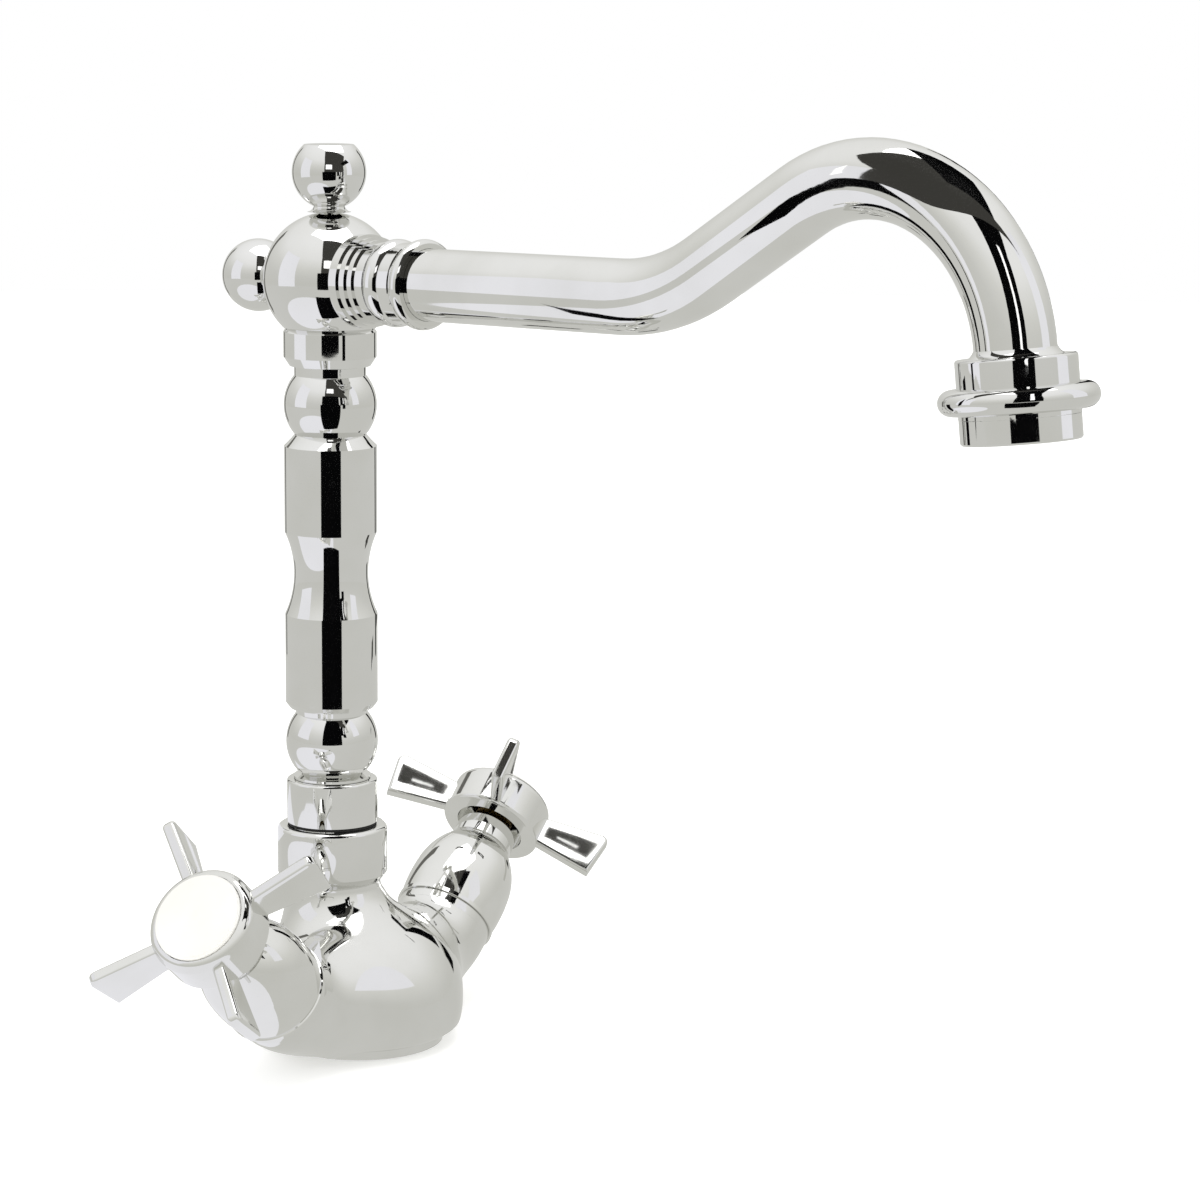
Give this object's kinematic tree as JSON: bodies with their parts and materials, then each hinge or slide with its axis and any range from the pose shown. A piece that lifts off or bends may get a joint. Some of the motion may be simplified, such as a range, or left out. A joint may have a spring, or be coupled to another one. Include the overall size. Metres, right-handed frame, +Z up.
{
  "type": "two-handle basin mixer tap",
  "caption": "Chrome single-hole basin mixer with cross-head handles, white porcelain buttons, a tall turned column with ball finials and a swan-neck swivel spout",
  "frame": {"origin": "centre of the base's underside, on the deck", "axes": "+Z up, spout side faces -Y, hot branch along -X and cold branch along +X as a user standing in front would have them on the left and the right"},
  "size_m": [0.2034, 0.292, 0.2688],
  "materials": {
    "cast_chrome": "bright chrome plate on polished cast brass",
    "turned_chrome": "bright chrome plate on turned brass",
    "spun_chrome": "bright chrome plate on spun brass shell",
    "handle_chrome": "bright chrome plate on die-cast handle",
    "tube_chrome": "bright chrome plate on bent brass tube",
    "white_porcelain": "glazed white porcelain",
    "black_rubber": "moulded EPDM rubber",
    "nickel_brass": "machined brass, left plain",
    "machined_brass": "machined brass",
    "red_fibre": "pressed fibre washer",
    "white_alumina": "lapped alumina ceramic",
    "grey_alumina": "lapped alumina ceramic",
    "stainless_steel": "bright stainless steel",
    "acetal_plastic": "moulded acetal"
  },
  "bodies": {
    "base": {"body_casting": "cast_chrome", "base_seal": "black_rubber", "column_grub_screw": "stainless_steel", "hot_valve_gland": "nickel_brass", "hot_gland_washer": "red_fibre", "hot_seat_seal": "black_rubber", "hot_fixed_disc": "white_alumina", "hot_bell_shroud": "spun_chrome", "hot_neck_sleeve": "turned_chrome", "cold_valve_gland": "nickel_brass", "cold_gland_washer": "red_fibre", "cold_seat_seal": "black_rubber", "cold_fixed_disc": "white_alumina", "cold_bell_shroud": "spun_chrome", "cold_neck_sleeve": "turned_chrome"},
    "spout": {"swivel_spigot": "turned_chrome", "swivel_seal_ring": "black_rubber", "swivel_o_rings": "black_rubber", "slip_bush": "acetal_plastic", "column": "turned_chrome", "head_body": "turned_chrome", "top_finial": "turned_chrome", "rear_finial": "turned_chrome", "spout_nut": "turned_chrome", "spout_o_ring": "black_rubber", "spout_tube": "tube_chrome", "outlet_collar": "turned_chrome", "aerator_housing": "turned_chrome", "aerator_insert": "acetal_plastic", "aerator_washer": "black_rubber"},
    "hot_handle": {"hot_moving_disc": "grey_alumina", "hot_spindle": "machined_brass", "hot_spindle_o_ring": "black_rubber", "hot_spindle_clip": "stainless_steel", "hot_handle": "handle_chrome", "hot_handle_insert": "machined_brass", "hot_handle_screw": "stainless_steel", "hot_index_button": "white_porcelain"},
    "cold_handle": {"cold_moving_disc": "grey_alumina", "cold_spindle": "machined_brass", "cold_spindle_o_ring": "black_rubber", "cold_spindle_clip": "stainless_steel", "cold_handle": "handle_chrome", "cold_handle_insert": "machined_brass", "cold_handle_screw": "stainless_steel", "cold_index_button": "white_porcelain"}
  },
  "joints": [
    {"name": "spout_swivel", "type": "hinge", "parent": "base", "child": "spout", "pos_m": [0, 0.0096, 0.06], "axis": [0, 0, 1], "continuous": true},
    {"name": "hot_turn", "type": "hinge", "parent": "base", "child": "hot_handle", "pos_m": [0, -0.0006, -0.0121], "axis": [-0.7788, 0, 0.6273], "range_deg": [0, 90]},
    {"name": "cold_turn", "type": "hinge", "parent": "base", "child": "cold_handle", "pos_m": [0, -0.0006, -0.0121], "axis": [0.7788, 0, 0.6273], "range_deg": [-90, 0]}
  ]
}
